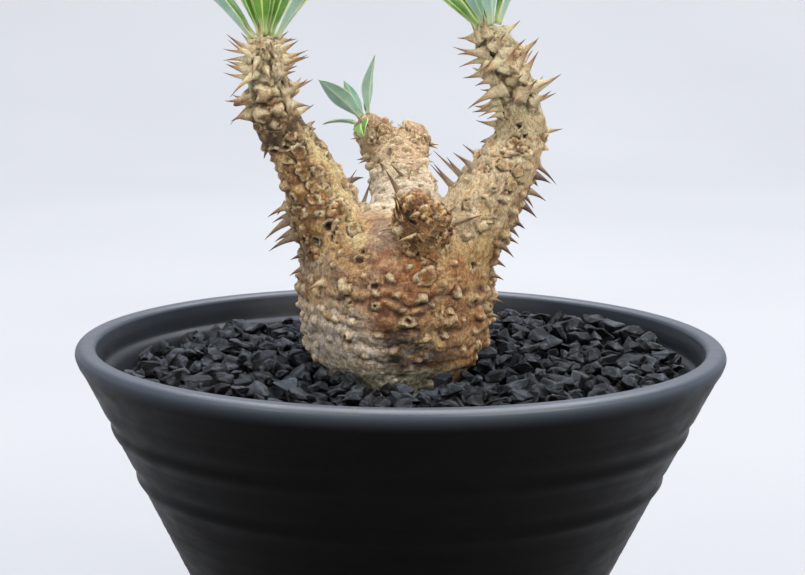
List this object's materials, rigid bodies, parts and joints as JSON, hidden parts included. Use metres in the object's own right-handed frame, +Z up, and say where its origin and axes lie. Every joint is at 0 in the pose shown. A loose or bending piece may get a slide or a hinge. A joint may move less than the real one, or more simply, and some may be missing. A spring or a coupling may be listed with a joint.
{
  "type": "potted pachypodium",
  "caption": "Spiny succulent with a swollen base and three branches, each or most tipped with a rosette of narrow leaves, in a wide conical pot dressed with crushed stone.",
  "frame": {"origin": "centre of the underside of the pot's foot ring", "axes": "+Z up along the pot's axis; the pruned stub faces -Y, the front, and the two tall branches stand at -X and +X"},
  "size_m": [0.15, 0.15, 0.1969],
  "materials": {
    "pot": "satin",
    "dressing": "matte",
    "bark": "matte",
    "leaf": "satin",
    "net": "matte",
    "pumice": "matte",
    "soil": "matte"
  },
  "bodies": {
    "root": {"drainage_gravel": "pumice", "drainage_mesh": "net", "gravel_layer": "dressing", "leaf_back_01": "leaf", "leaf_back_02": "leaf", "leaf_back_03": "leaf", "leaf_back_04": "leaf", "leaf_back_05": "leaf", "leaf_back_06": "leaf", "leaf_left_01": "leaf", "leaf_left_02": "leaf", "leaf_left_03": "leaf", "leaf_left_04": "leaf", "leaf_left_05": "leaf", "leaf_left_06": "leaf", "leaf_left_07": "leaf", "leaf_left_08": "leaf", "leaf_left_09": "leaf", "leaf_right_01": "leaf", "leaf_right_02": "leaf", "leaf_right_03": "leaf", "leaf_right_04": "leaf", "leaf_right_05": "leaf", "leaf_right_06": "leaf", "leaf_right_07": "leaf", "leaf_right_08": "leaf", "leaf_right_09": "leaf", "loose_chip_01": "dressing", "loose_chip_02": "dressing", "loose_chip_03": "dressing", "loose_chip_04": "dressing", "loose_chip_05": "dressing", "loose_chip_06": "dressing", "loose_chip_07": "dressing", "loose_chip_08": "dressing", "loose_chip_09": "dressing", "loose_chip_10": "dressing", "loose_chip_11": "dressing", "loose_chip_12": "dressing", "loose_chip_13": "dressing", "loose_chip_14": "dressing", "loose_chip_15": "dressing", "loose_chip_16": "dressing", "loose_chip_17": "dressing", "loose_chip_18": "dressing", "loose_chip_19": "dressing", "loose_chip_20": "dressing", "loose_chip_21": "dressing", "loose_chip_22": "dressing", "loose_chip_23": "dressing", "loose_chip_24": "dressing", "pot": "pot", "potting_mix": "soil", "stem": "bark"}
  },
  "joints": []
}
